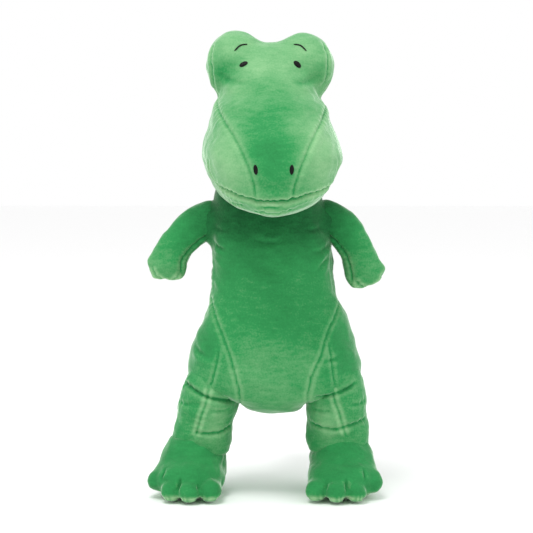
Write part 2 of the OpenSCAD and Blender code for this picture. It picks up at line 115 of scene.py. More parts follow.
def levels(p, height, table, ends):
    # Superellipses stacked by height: table rows are height, middle x, half width, front, back, squareness
    table = np.asarray(table, float)
    column = [smoothThrough(height, table[:, 0], table[:, k]) for k in range(1, 6)]
    cx, w, front, back, e = column
    cy, d = (back - front) / 2, (back + front) / 2
    ring = (np.abs((p[..., 0] - cx) / w) ** e + np.abs((p[..., 1] - cy) / d) ** e) ** (1 / e)
    beyond = np.maximum(table[0, 0] - height, height - table[-1, 0])
    return cutBy((ring - 1) * np.minimum(w, d), beyond, ends)


def castSkin(field, start, way, reach):
    # Walks out from each start along its way to where the field turns positive, then halves the step
    n = 70
    low, high = np.zeros(way.shape[:-1]), np.full(way.shape[:-1], float(reach))
    found = np.zeros(way.shape[:-1], bool)
    for k in range(1, n):
        r = reach * k / n
        out = ~found & (field(start + way * r) > 0)
        high[out], low[out] = r, r - reach / n
        found |= out
    for k in range(11):
        mid = (low + high) / 2
        out = field(start + way * mid[..., None]) > 0
        high, low = np.where(out, mid, high), np.where(out, low, mid)
    return start + way * high[..., None]


def roundWays(turns, rises, frontShare=0.0):
    # Directions by azimuth and elevation, closer together at the front; row 0 is straight down
    t = np.linspace(0, 2 * np.pi, turns, endpoint=False)
    u = t - frontShare * np.cos(t)
    e = np.asarray(rises)[:, None]
    return np.stack([np.cos(e) * np.cos(u), np.cos(e) * np.sin(u), np.sin(e) + 0 * u], axis=-1)


def normalsOf(points):
    # Cross product of the steps round a ring and from ring to ring
    du = np.roll(points, -1, axis=1) - np.roll(points, 1, axis=1)
    dv = np.gradient(points, axis=0)
    n = np.cross(du, dv)
    size = np.linalg.norm(n, axis=-1, keepdims=True)
    n = n / np.maximum(size, 1e-9)
    for end, inner in ((0, 1), (-1, -2)):
        mean = n[inner].mean(axis=0)
        n[end] = mean / max(np.linalg.norm(mean), 1e-9)
    return n


def lumps(points, size, seed):
    # Smooth unevenness from -1 to 1: six waves about that long, each bent by the one before
    total, bend = 0, 0
    for k in range(6):
        a, b = 2.4 * (k + seed), 1.1 * (k + 2 * seed) + 0.4
        way = np.array([np.cos(a) * np.cos(b), np.sin(a) * np.cos(b), np.sin(b)])
        bend = np.sin(points @ way * (2 * np.pi / size) * (0.8 + 0.09 * k) + 1.7 * k + seed + 0.9 * bend)
        total = total + bend
    return total / 3.2


def addLumps(skin, layers, share=1.0):
    for much, size, seed in layers:
        skin["push"] = skin["push"] + share * much * lumps(skin["points"], size, seed)


def closeTo(points, line):
    # Nearest distance to a line of points, how far along it that is, and its length
    points = np.asarray(points)
    flat = points.reshape(-1, 3)
    gaps = np.diff(line, axis=0)
    lengths = np.linalg.norm(gaps, axis=1)
    before = np.concatenate([[0], np.cumsum(lengths)])
    near = np.full(len(flat), 1e9)
    along = np.zeros(len(flat))
    box = ((flat > line.min(0) - 14) & (flat < line.max(0) + 14)).all(axis=1)
    some = flat[box]
    best, place = np.full(len(some), 1e9), np.zeros(len(some))
    for a, g, size, s in zip(line[:-1], gaps, lengths, before):
        t = np.clip(((some - a) @ g) / max(size**2, 1e-9), 0, 1)
        d = np.linalg.norm(some - a - t[:, None] * g, axis=1)
        closer = d < best
        best[closer], place[closer] = d[closer], s + t[closer] * size
    near[box], along[box] = best, place
    return near.reshape(points.shape[:-1]), along.reshape(points.shape[:-1]), before[-1]


def startSkin(points, middleLine, inset=5.0):
    # The core is the same surface drawn in towards the middle line, for the filling
    reach = np.linalg.norm(points - middleLine, axis=-1, keepdims=True)
    core = middleLine + (points - middleLine) * np.maximum(reach - inset, 0.4) / np.maximum(reach, 0.5)
    return {"points": points, "normals": normalsOf(points), "core": core,
            "push": np.zeros(points.shape[:-1]), "tone": np.zeros(points.shape[:-1])}


def layOn(skin, route, facing=(0, -1, 0)):
    # A route drawn in a flat view goes to the nearest grid points that face that way
    facing = np.asarray(facing, float)
    across = [k for k in range(3) if abs(facing[k]) < 0.5]
    route = np.asarray(route, float)
    along = np.concatenate([[0], np.cumsum(np.linalg.norm(np.diff(route, axis=0), axis=1))])
    dense = np.linspace(0, along[-1], max(8, int(along[-1] / 1.5)))
    drawn = np.stack([smoothThrough(dense, along, route[:, k]) for k in (0, 1)], axis=1)
    flat, n = skin["points"].reshape(-1, 3), skin["normals"].reshape(-1, 3)
    flat = flat[n @ facing > 0.08]
    seen = flat[:, across]
    front = 0.02 * (flat @ facing)  # of two points in line, the nearer one
    found = np.array([flat[np.argmin(((seen - d) ** 2).sum(axis=1) - front)] for d in drawn])
    for k in range(2):
        found[1:-1] = (found[:-2] + 2 * found[1:-1] + found[2:]) / 4
    return found


def sew(skin, line, depth=0.9, width=0.95, puff=0.6, pucker=0.18, fade=4, dark=0.1, pale=0.08, phase=0.0):
    # A seam: a narrow valley, a swell on both sides, and small puckers that cross it;
    # painted shade darkens the valley's floor and a painted highlight pales the band just beside it
    d, along, length = closeTo(skin["points"], line)
    ends = np.clip(np.minimum(along, length - along) / fade, 0, 1)
    valley = np.exp(-(d / width) ** 2)
    swell = np.exp(-((d - 3.6) / 3.0) ** 2)
    wave = along * 2 * np.pi / 5.2 + phase + 1.3 * np.sin(along / 4.1 + phase)
    ripple = np.exp(-(d / 4.0) ** 2) * np.sin(wave)
    skin["push"] += ends * (puff * swell - depth * valley + pucker * ripple)
    # painted shade at the valley's floor, painted highlight on the band beside it
    skin["tone"] += ends * (pale * np.exp(-((d - 2.0) / 1.5) ** 2) - dark * np.exp(-(d / (0.75 * width)) ** 2))


def finishSkin(skin):
    # Moves every point out along its normal by its push, and closes the two poles
    moved = skin["points"] + skin["normals"] * skin["push"][..., None]
    moved[0] = moved[0].mean(axis=0)
    moved[-1] = moved[-1].mean(axis=0)
    skin["points"] = moved
    skin["push"] = np.zeros(moved.shape[:-1])
    skin["normals"] = normalsOf(moved)
    return skin


def quadsOf(high, wide):
    # Faces of a grid that closes on itself round each ring, with a fan at each pole
    i, j = np.meshgrid(np.arange(1, high - 2), np.arange(wide), indexing="ij")
    nextJ = (j + 1) % wide
    first = lambda row, col: 1 + (row - 1) * wide + col
    quads = np.stack([first(i, j), first(i, nextJ), first(i + 1, nextJ), first(i + 1, j)], -1).reshape(-1, 4)
    j = np.arange(wide)
    top = 1 + (high - 2) * wide
    lowFan = np.stack([0 * j, first(1, (j + 1) % wide), first(1, j)], -1)
    highFan = np.stack([0 * j + top, first(high - 2, j), first(high - 2, (j + 1) % wide)], -1)
    return quads, np.concatenate([lowFan, highFan])


def meshFrom(name, verts, quads, triangles, values=None):
    mesh = bpy.data.meshes.new(name)
    mesh.vertices.add(len(verts))
    mesh.vertices.foreach_set("co", np.asarray(verts, np.float32).ravel())
    sizes = np.concatenate([np.full(len(quads), 4), np.full(len(triangles), 3)]).astype(np.int32)
    loops = np.concatenate([np.asarray(quads).ravel(), np.asarray(triangles).ravel()]).astype(np.int32)
    mesh.loops.add(len(loops))
    mesh.loops.foreach_set("vertex_index", loops)
    mesh.polygons.add(len(sizes))
    mesh.polygons.foreach_set("loop_start", (np.cumsum(sizes) - sizes).astype(np.int32))
    mesh.polygons.foreach_set("use_smooth", np.ones(len(sizes), bool))
    mesh.update(calc_edges=True)
    for key, array in (values or {}).items():
        attribute = mesh.attributes.new(key, "FLOAT", "POINT")
        attribute.data.foreach_set("value", np.asarray(array, np.float32).ravel())
    mesh.validate()
    obj = bpy.data.objects.new(name, mesh)
    bpy.context.scene.collection.objects.link(obj)
    return obj


def pieceFrom(name, skin, material):
    points = skin["points"]
    quads, triangles = quadsOf(*points.shape[:2])
    verts = np.concatenate([points[:1, 0], points[1:-1].reshape(-1, 3), points[-1:, 0]])
    tone = skin["tone"]
    tone = np.concatenate([tone[:1, 0], tone[1:-1].ravel(), tone[-1:, 0]])
    obj = meshFrom(name, (verts + middle) / 1000, quads, triangles, {"tone": tone})
    obj.data.materials.append(material)
    return obj


def fillingFrom(name, skin, material):
    # The filling is the skin's own core on a coarser grid
    step = 3
    body = skin["core"][step:-step:step, ::step]
    points = np.concatenate([np.repeat(body[:1].mean(axis=1, keepdims=True), body.shape[1], axis=1), body,
                             np.repeat(body[-1:].mean(axis=1, keepdims=True), body.shape[1], axis=1)])
    return pieceFrom(name, {"points": points, "tone": np.zeros(points.shape[:2])}, material)


pileLook = {
    "deep": "#0a5026", "mid": "#2b884a", "tips": "#9dc795", "base": 0.095,
    "roughness": 0.9, "sheen": 1.0, "sheenRoughness": 0.3,
    "clump": 1.2, "stroke": 5.0, "patch": 24.0, "bump": 0.25, "bumpHeight": 0.0008,
    "lay": (0.6, 0.6, 1.8),  # the strokes lie level: longer across than up
    "shares": {"patch": 0.13, "stroke": 0.13, "clump": 0.13},
}


def brushedVelboa(name, look):
    # Short polyester pile whose strokes lie in patches; a vertex attribute adds random tone together with painted
    # shade in seams, folds and under the chin and painted highlights beside the seams
    material = bpy.data.materials.new(name)
    material.use_nodes = True
    tree = material.node_tree
    shader = tree.nodes["Principled BSDF"]
    coordinate = addNode(tree, "ShaderNodeTexCoord").outputs["Object"]
    stretched = addNode(tree, "ShaderNodeMapping", [("Vector", coordinate), ("Scale", look["lay"])]).outputs[0]
    noise = {}
    for key, size, source, detail in (("patch", look["patch"], coordinate, 2.0),
                                      ("stroke", look["stroke"], stretched, 3.0),
                                      ("clump", look["clump"], coordinate, 2.0)):
        noise[key] = addNode(tree, "ShaderNodeTexNoise", [("Vector", source), ("Scale", 1000 / size),
                                                        ("Detail", detail)]).outputs["Fac"]
    # random tone together with painted shade and painted highlights, per vertex
    tone = addNode(tree, "ShaderNodeAttribute", attribute_name="tone").outputs["Fac"]
    total = None
    for key, share in look["shares"].items():
        part = addNode(tree, "ShaderNodeMath", [(0, noise[key]), (1, share)], operation="MULTIPLY").outputs[0]
        total = part if total is None else addNode(tree, "ShaderNodeMath", [(0, total), (1, part)]).outputs[0]
    total = addNode(tree, "ShaderNodeMath", [(0, total), (1, tone)]).outputs[0]
    total = addNode(tree, "ShaderNodeMath", [(0, total), (1, look["base"])]).outputs[0]
    # the dark low end comes largely from painted shade, the pale high end partly from painted highlights
    ramp = addNode(tree, "ShaderNodeValToRGB", [("Fac", total)])
    stops = ramp.color_ramp.elements
    stops[0].position, stops[0].color = 0.02, linear(look["deep"])
    stops[1].position, stops[1].color = 0.66, linear(look["tips"])
    middleStop = stops.new(0.28)
    middleStop.color = linear(look["mid"])
    tree.links.new(ramp.outputs["Color"], shader.inputs["Base Color"])
    rough = addNode(tree, "ShaderNodeMath", [(0, noise["clump"]), (1, noise["stroke"])]).outputs[0]
    bump = addNode(tree, "ShaderNodeBump", [("Height", rough), ("Strength", look["bump"]),
                                            ("Distance", look["bumpHeight"])])
    tree.links.new(bump.outputs["Normal"], shader.inputs["Normal"])
    shader.inputs["Roughness"].default_value = look["roughness"]
    shader.inputs["Sheen Weight"].default_value = look["sheen"]
    shader.inputs["Sheen Roughness"].default_value = look["sheenRoughness"]
    shader.inputs["Sheen Tint"].default_value = linear("#e4f7e2")
    shader.inputs["Specular IOR Level"].default_value = 0.2
    return material


def spunThread(name, hexColour, spacing):
    # Rayon embroidery thread: fine parallel strands with a soft gloss
    material = bpy.data.materials.new(name)
    material.use_nodes = True
    tree = material.node_tree
    shader = tree.nodes["Principled BSDF"]
    coordinate = addNode(tree, "ShaderNodeTexCoord").outputs["Object"]
    strands = addNode(tree, "ShaderNodeTexWave", [("Vector", coordinate), ("Scale", 1000 / spacing / 6.3),
                                                  ("Distortion", 1.5), ("Detail", 1.0)])
    bump = addNode(tree, "ShaderNodeBump", [("Height", strands.outputs["Fac"]), ("Strength", 0.4),
                                            ("Distance", 0.0003)])
    tree.links.new(bump.outputs["Normal"], shader.inputs["Normal"])
    shader.inputs["Base Color"].default_value = linear(hexColour)
    shader.inputs["Roughness"].default_value = 0.45
    shader.inputs["Specular IOR Level"].default_value = 0.15
    return material


def fibreFill(name, hexColour, size):
    # Carded polyester fibre: white, matt and loose
    material = bpy.data.materials.new(name)
    material.use_nodes = True
    tree = material.node_tree
    shader = tree.nodes["Principled BSDF"]
    coordinate = addNode(tree, "ShaderNodeTexCoord").outputs["Object"]
    noise = addNode(tree, "ShaderNodeTexNoise", [("Vector", coordinate), ("Scale", 1000 / size),
                                                 ("Detail", 5.0)])
    bump = addNode(tree, "ShaderNodeBump", [("Height", noise.outputs["Fac"]), ("Strength", 0.6),
                                            ("Distance", 0.002)])
    tree.links.new(bump.outputs["Normal"], shader.inputs["Normal"])
    shader.inputs["Base Color"].default_value = linear(hexColour)
    shader.inputs["Roughness"].default_value = 0.95
    shader.inputs["Sheen Weight"].default_value = 0.3
    return material


plush = brushedVelboa("brushedVelboa", pileLook)
blackThread = spunThread("blackRayonThread", "#070707", 0.5)
greenThread = spunThread("greenPolyesterThread", "#2a7c47", 0.5)
fibre = fibreFill("cardedPolyesterFibre", "#f1eee6", 9)
calico = fibreFill("cottonCalico", "#d8d2c0", 1.2)
print("materials made")

headShape = {
    "grid": (280, 356), "frontShare": 0.4, "castFrom": (0, -22, 52), "reach": 130,
    "lumps": [(0.7, 38, 1), (0.25, 13, 2)],  # unevenness: height, size and seed
    "muzzleAt": 1.6,  # the muzzle lies a little to the toy's left
    "turn": 1.6, "neckGap": 1.2, "neckRadius": 38.0, "mouthArch": 11.0, "mouthReach": 38.0, "mouthHeight": 5.6,
    "domeAt": (22.7, -7.0, 96.6), "domeSize": (21.1, 25.0, 23.3), "domeBlend": 5.0, "domeMiddle": 1.1,
    "domeSag": 0.7,  # the toy's left dome sits lower by twice this
    # height over the neck, middle, half width, front, back, squareness
    "levels": [
        (-5, 1.6, 17, 72, -14, 2.2), (-2.5, 1.6, 30, 83, 6, 2.2), (1.5, 1.6, 37, 88.5, 20, 2.3),
        (5.6, 1.6, 40.5, 91, 25, 2.3), (9.5, 1.6, 43, 93.5, 29, 2.3), (14, 1.6, 44.4, 95, 33, 2.4),
        (20, 2.2, 46.2, 96.5, 37, 2.4), (28, 2.0, 47.0, 96, 41, 2.4), (36, 1.6, 46.4, 93, 44.5, 2.4),
        (46, 1.3, 44.6, 87, 46.5, 2.3), (57, 0.9, 41.5, 77, 47, 2.3), (67, 0.8, 38.6, 67, 46, 2.3),
        (75, 0.4, 34.2, 58, 45, 2.3), (83, 0, 33.5, 50, 43, 2.3), (92, 0, 33.5, 42, 40, 2.2),
        (100, 0, 31.5, 35, 35, 2.2), (107, 0, 27.0, 28, 29, 2.1), (112, 0.6, 17.0, 19, 20, 2.0),
    ],
    # half of the face panel's seam in the front view: x and height over the neck
    "faceSeam": [(38.2, 84), (37.6, 75), (35.7, 66), (31.9, 57), (25.9, 47), (19.2, 33), (14.8, 21), (12.2, 11),
                 (11.4, 6)],
    "domeSeam": [(36.5, 112), (39.0, 102), (38.6, 92), (37.0, 82)],
    "cheekFold": [(42.5, 34), (42.5, 26), (39.0, 19), (35.0, 14.5)],
    "lipFolds": [[(-12, -0.5), (2, -1.8), (15, 0)], [(-9, 3.2), (-1, 2.2), (7, 2.8)],
                 [(-30, 6), (-24, 3.6), (-17, 2.6)]],
    "browFold": [(-36, 90), (-26, 84), (-14, 82)],
    # patches of paler or darker pile, partly the pile's own lie and partly painted light, the domes and cheeks
    # painted paler where light falls from above: distance out from the middle, height over the neck, the patch's
    # reach across and up, and how much
    "pile": [(0, 48, 24, 24, -0.1), (0, 20, 14, 14, -0.06), (30, 34, 12, 22, 0.12), (24, 107, 16, 11, 0.1),
             (9, 92, 9, 9, 0.06), (24, 78, 9, 7, 0.05), (31, 92, 7, 6, -0.04)],
    # paleness: the whole head painted paler than the body, as lit more from above
    "paleness": 0.08, "mottle": (0.04, 60, 6),
    "sewn": {
        "mouth": {"depth": 1.9, "width": 1.0, "puff": 1.1, "pucker": 0.5, "fade": 9, "dark": 0.17, "pale": 0.14},
        "faceSeam": {"depth": 0.7, "puff": 0.6, "dark": 0.07, "pale": 0.05},
        "domeSeam": {"fade": 6},
        "cheekFold": {"depth": 1.1, "width": 1.6, "pucker": 0.1, "fade": 9, "dark": 0.08, "pale": 0.1},
        "browFold": {"depth": 0.9, "width": 3.4, "puff": 0.5, "pucker": 0, "fade": 8, "dark": 0.06, "pale": 0},
        "lipFolds": {"depth": 0.9, "width": 1.1, "puff": 0.5, "pucker": 0.45, "fade": 6, "dark": 0.15, "pale": 0.12},
    },
}


def mouthLift(p):
    # The mouth rises to both corners, as the square of the distance from the middle
    x = np.minimum(np.abs(p[..., 0] - headShape["muzzleAt"]), headShape["mouthReach"] + 6) / headShape["mouthReach"]
    height = p[..., 2] - neckZ
    return headShape["mouthArch"] * x**2 * np.clip((52 - height) / 34, 0, 1)


def headField(p):
    # The stacked levels, lifted with the mouth, joined with the two domes and hollowed for the neck's ball
    lift = mouthLift(p)
    mirrored = np.concatenate([np.abs(p[..., :1]), p[..., 1:]], axis=-1)
    whole = levels(p, p[..., 2] - neckZ - lift, headShape["levels"], 5)
    domeAt = np.array(headShape["domeAt"]) + [0, 0, neckZ]
    mirrored[..., 0] = np.abs(p[..., 0] - headShape["domeMiddle"])
    mirrored[..., 2] += headShape["domeSag"] * (1 + np.tanh(p[..., 0] / 6))
    whole = joined(whole, ball(mirrored, domeAt, headShape["domeSize"]), headShape["domeBlend"])
    room = headShape["neckRadius"] + headShape["neckGap"] - np.linalg.norm(p - [0, 0, neckZ], axis=-1)
    return cutBy(whole, room, 3)


def turned(points, degrees, at):
    # Turns about the upright line through a point
    c, s = np.cos(np.radians(degrees)), np.sin(np.radians(degrees))
    q = points - at
    return np.stack([c * q[..., 0] - s * q[..., 1], s * q[..., 0] + c * q[..., 1], q[..., 2]], axis=-1) + at


def makeHead():
    # The field's surface cast from one inner point, then moved out along its normal by lumps and seams
    high, wide = (int(n * rows) for n in headShape["grid"])
    ways = roundWays(wide, np.linspace(-np.pi / 2, np.pi / 2, high), headShape["frontShare"])
    start = np.array(headShape["castFrom"]) + [0, 0, neckZ]
    skin = startSkin(castSkin(headField, start, ways, headShape["reach"]), start)
    addLumps(skin, headShape["lumps"])
    sewn, muzzle, skull = headShape["sewn"], np.array([headShape["muzzleAt"], neckZ]), np.array([0, neckZ])
    x = np.linspace(-1, 1, 17)
    lip = np.stack([x * headShape["mouthReach"], headShape["mouthHeight"] + headShape["mouthArch"] * x**2], axis=1)
    sew(skin, layOn(skin, lip + muzzle), **sewn["mouth"])
    for side in (-1, 1):
        for number, (key, at) in enumerate((("faceSeam", muzzle), ("domeSeam", skull),
                                            ("cheekFold", muzzle), ("browFold", skull))):
            phase = (1, 2, 0, 0)[number] * side
            sew(skin, layOn(skin, np.array(headShape[key]) * [side, 1] + at), phase=phase, **sewn[key])
    for fold in headShape["lipFolds"]:
        sew(skin, layOn(skin, np.array(fold) + skull), **sewn["lipFolds"])
    height = skin["points"][..., 2] - neckZ
    out = np.abs(skin["points"][..., 0] - 1.3)
    front = np.clip(-1.6 * skin["normals"][..., 1] + 0.3, 0, 1)
    # partly painted light: the pale patches on the domes and cheeks stand for light from above
    for x, z, wide, tall, much in headShape["pile"]:
        # each patch fades as the bell curve of its distance, and only the front has them
        skin["tone"] += much * front * np.exp(-((out - x) / wide) ** 2 - ((height - z) / tall) ** 2)
    # the whole head painted paler, as lit from above, with a random mottle
    much, size, seed = headShape["mottle"]
    skin["tone"] += headShape["paleness"] + much * lumps(skin["points"], size, seed)
    skin = finishSkin(skin)
    skin["points"] = turned(skin["points"], headShape["turn"], np.zeros(3))
    skin["normals"] = normalsOf(skin["points"])
    return skin


head = makeHead()
headPiece = pieceFrom("headSkin", head, plush)
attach(headPiece, "head")
print("head made")

torsoShape = {
    "wide": 300, "rings": (56, 96, 30), "reach": 90,
    "lumps": [(0.9, 42, 3), (0.35, 15, 4)],
    "neckRadius": 38.0,
    "levels": [
        (57, 3.6, 12, 20, 16, 2.0), (60, 3.6, 18.5, 28, 25, 2.0), (63.5, 3.6, 22.5, 33, 31, 2.1),
        (66.5, 3.6, 29, 36, 35, 2.2), (69, 3.7, 39, 38, 37.5, 2.3), (72, 3.9, 49.5, 39.5, 40, 2.3),
        (76, 4.2, 57.2, 41, 42, 2.3), (81, 4.6, 60.2, 42.5, 43.5, 2.3), (90, 4.3, 60, 43.8, 44.5, 2.3),
        (101, 4.4, 57, 44.3, 43.5, 2.3), (112, 4.8, 53.4, 44, 42, 2.2), (123, 5.1, 49.5, 42.5, 40, 2.2),
        (134, 4.9, 45, 40, 38, 2.2), (145, 4.4, 42.8, 39, 37, 2.2), (156, 3.6, 41.5, 38.2, 36.5, 2.2),
        (166, 3.0, 41.2, 37.5, 36, 2.2), (177, 1.8, 41, 36.5, 36, 2.1), (188, 0.6, 41.2, 35, 35.5, 2.1),
        (194, 0.2, 39.4, 34, 35, 2.0), (197, 0.0, 37.2, 33.5, 34.5, 2.0),
    ],
    "shoulderFrom": (26.0, 0.0, 190.0), "shoulderTo": (40.0, 0.0, 189.0), "shoulderRadius": 12.5,
    # how pale the pile is at each height: paler towards the hips, and darker under the chin, partly a painted shadow
    # of the head and partly the pile lying flat there
    "pile": [(60, 0.05), (78, 0.05), (100, 0.02), (125, -0.01), (155, -0.04), (172, -0.1),
             (184, -0.22), (200, -0.25)],
    "flankDark": 0.06,
    "sewn": {
        "seams": {"depth": 0.7, "fade": 12, "pucker": 0.25, "dark": 0.07},
        "folds": {"depth": 1.0, "width": 2.2, "puff": 0.9, "pucker": 0.1, "fade": 9, "dark": 0.07, "pale": 0.05},
        "hipFold": {"depth": 1.6, "width": 1.5, "puff": 0.8, "pucker": 0.2, "fade": 6, "dark": 0.14, "pale": 0.05},
        "back": {"fade": 10, "pucker": 0.3},
    },
    "back": [(1, 186), (3, 150), (3.5, 120), (3.5, 64)],
    # x and height of the belly seam on the toy's right, and on its left
    "seams": [[(-39.5, 172), (-39.2, 155), (-39.4, 140), (-37.2, 131), (-32.5, 118), (-27.8, 106), (-23.5, 92),
               (-19.6, 76), (-18.6, 62)],
              [(44, 172), (46.5, 155), (49, 143), (48.6, 134), (40.2, 114), (34.6, 98), (28.4, 82), (26.2, 64)],
              [(-32, 108), (-36, 90), (-40.5, 73)], [(40.6, 112), (43, 93), (46.6, 74)]],
    # the deep fold where a leg starts, across torso and leg alike: x and height
    "hipFold": {"right": [(-58, 79), (-50, 74.5), (-41.4, 70.5), (-30, 68), (-21, 66.5)],
                "left": [(30, 71), (38, 71.5), (46, 73), (54, 76), (61, 80)]},
    # folds over the hips, at the shoulders and across the chest: x and height
    "folds": [[(-50, 104), (-44, 99), (-37, 98)], [(50, 100), (43, 96), (35, 96)],
              [(-38, 186), (-31, 183), (-24, 184)], [(38, 186), (31, 183), (24, 184)],
              [(43, 174), (35, 169), (27, 167.5)], [(-38, 175), (-31, 171), (-25, 170)],
              [(42, 166), (36, 160), (32, 154)],
              [(-12, 178), (0, 175.5), (13, 178)]],
}


def torsoField(p):
    # The stacked levels joined with a rod for the shoulders and the neck's ball, which alone goes on in the head
    body = levels(p, p[..., 2], torsoShape["levels"], 5)
    mirrored = np.concatenate([np.abs(p[..., :1]), p[..., 1:]], axis=-1)
    shoulder = rod(mirrored, torsoShape["shoulderFrom"], torsoShape["shoulderTo"], torsoShape["shoulderRadius"])
    body = joined(body, shoulder, 9)
    neck = np.linalg.norm(p - [0, 0, neckZ], axis=-1) - torsoShape["neckRadius"]
    body = joined(body, neck, 4)
    return np.where(p[..., 2] > neckZ + 3, neck, body)


def makeTorso():
    # The field's surface cast from an upright middle line: down and round below it, level beside it, and
    # up and round above it
    wide = int(torsoShape["wide"] * rows)
    low, mid, top = (int(n * rows) for n in torsoShape["rings"])
    hipZ = 92.0
    rises = np.concatenate([np.linspace(-np.pi / 2, 0, low), np.zeros(mid), np.linspace(0, np.pi / 2, top)])
    heights = np.concatenate([np.full(low, hipZ), np.linspace(hipZ, neckZ, mid + 2)[1:-1], np.full(top, neckZ)])
    centres = np.stack([smoothThrough(heights, [hipZ, 145, neckZ], [3, 3, 0]), 0 * heights, heights], axis=-1)
    line = centres[:, None, :]
    skin = startSkin(castSkin(torsoField, line, roundWays(wide, rises), torsoShape["reach"]), line)
    height = skin["points"][..., 2]
    calm = np.clip((neckZ - 8 - height) / 10, 0, 1)  # the neck stays round inside the head
    addLumps(skin, torsoShape["lumps"], calm)
    flank = np.clip((np.abs(skin["points"][..., 0] - 4) - 24) / 16, 0, 1) * np.clip((125 - height) / 20, 0, 1)
    # darker under the chin: partly painted shadow of the head, partly the pile's lie
    skin["tone"] += smoothThrough(height, *np.array(torsoShape["pile"]).T) - torsoShape["flankDark"] * flank
    sewn = torsoShape["sewn"]
    for number, route in enumerate(torsoShape["seams"]):
        sew(skin, layOn(skin, route), phase=1.3 * number, **sewn["seams"])
    for fold in torsoShape["folds"]:
        sew(skin, layOn(skin, fold), **sewn["folds"])
    for fold in torsoShape["hipFold"].values():
        sew(skin, layOn(skin, fold), **sewn["hipFold"])
    sew(skin, layOn(skin, torsoShape["back"], (0, 1, 0)), **sewn["back"])
    return finishSkin(skin)


torso = makeTorso()
torsoPiece = pieceFrom("torsoSkin", torso, plush)
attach(torsoPiece, "torso")
print("torso made")


def makeTube(path, sizes, wide, rings, seed, bumps=0.3):
    # Rounded rings along a smooth path: sizes rows are share of the way, half width, half depth.
    # The first and last rings shrink almost to a point, as the sizes table gives.
    path, sizes = np.asarray(path, float), np.asarray(sizes, float)
    wide, rings = int(wide * rows), int(rings * rows)
    along = np.concatenate([[0], np.cumsum(np.linalg.norm(np.diff(path, axis=0), axis=1))])
    share = (1 - np.cos(np.linspace(0, np.pi, rings))) / 2
    share = 0.6 * share + 0.4 * np.linspace(0, 1, rings)
    line = np.stack([smoothThrough(share * along[-1], along, path[:, k]) for k in range(3)], axis=1)
    ahead = np.gradient(line, axis=0)
    ahead /= np.linalg.norm(ahead, axis=1, keepdims=True)
    width = smoothThrough(share, sizes[:, 0], sizes[:, 1])
    depth = smoothThrough(share, sizes[:, 0], sizes[:, 2])
    depthWay = np.array([0, 1.0, 0]) if abs(ahead[rings // 2, 1]) < 0.8 else np.array([0, 0, 1.0])
    sideWay = np.cross(depthWay, ahead)
    sideWay /= np.linalg.norm(sideWay, axis=1, keepdims=True)
    depthWays = np.cross(ahead, sideWay)
    u = np.linspace(0, 2 * np.pi, wide, endpoint=False)
    points = (line[:, None, :] + (width[:, None] * np.cos(u))[..., None] * sideWay[:, None, :]
              + (depth[:, None] * np.sin(u))[..., None] * depthWays[:, None, :])
    skin = startSkin(points, line[:, None, :])
    skin["push"] += bumps * lumps(points, 22, seed) + 0.4 * bumps * lumps(points, 9, seed + 1)
    return skin


armShape = {
    # a path from inside the shoulder to the tip of the paw, and ring sizes along it
    "right": [(-30, 0, 192), (-40, 0, 190.5), (-52, -2, 184), (-62.4, -4, 173.5), (-68.2, -6, 162),
              (-69, -7, 149.5)],
    "left": [(30, 0, 192), (40, 0, 190.5), (52, -2, 183.5), (60, -4, 172), (65.3, -6, 158), (68, -7, 145)],
    "sizes": [(0, 0.3, 0.3), (0.03, 8, 8), (0.1, 12.5, 12), (0.2, 13.2, 13), (0.4, 12.8, 12), (0.6, 12.0, 11),
              (0.76, 12.6, 11), (0.88, 12.4, 10.4), (0.95, 9.8, 8.0), (0.985, 5.6, 4.6), (1, 0.3, 0.3)],
    # lobes of the paw from the outer side of its tip to the inner one: outwards, forwards, up, height
    "lobes": [(10.5, -5, 9.0, 2.3), (8.0, -6, -1.0, 2.3), (-0.5, -7, -5.5, 2.2), (-8.0, -6, -1.5, 2.0)],
    # the seam over the end of the paw: outwards and up from the tip
    "end": [(10.5, 9.5), (8.5, 4.5), (4.5, 1.5), (-1, 0.2), (-5.5, 2), (-8.5, 6)],
    "grid": (132, 120), "bumps": 0.45, "lobeReach": 4.2, "lobePale": 0.09,
    "paleness": 0.03, "rootShadow": 0.27, "rootReach": 22,  # the arm is painted darker round the shoulder: painted shadow under the head
    "sewn": {
        "end": {"depth": 0.8, "puff": 0.3, "pucker": 0.4, "fade": 3, "dark": 0.05, "pale": 0.16},
        "under": {"depth": 0.9, "fade": 6, "pucker": 0.25},
    },
}
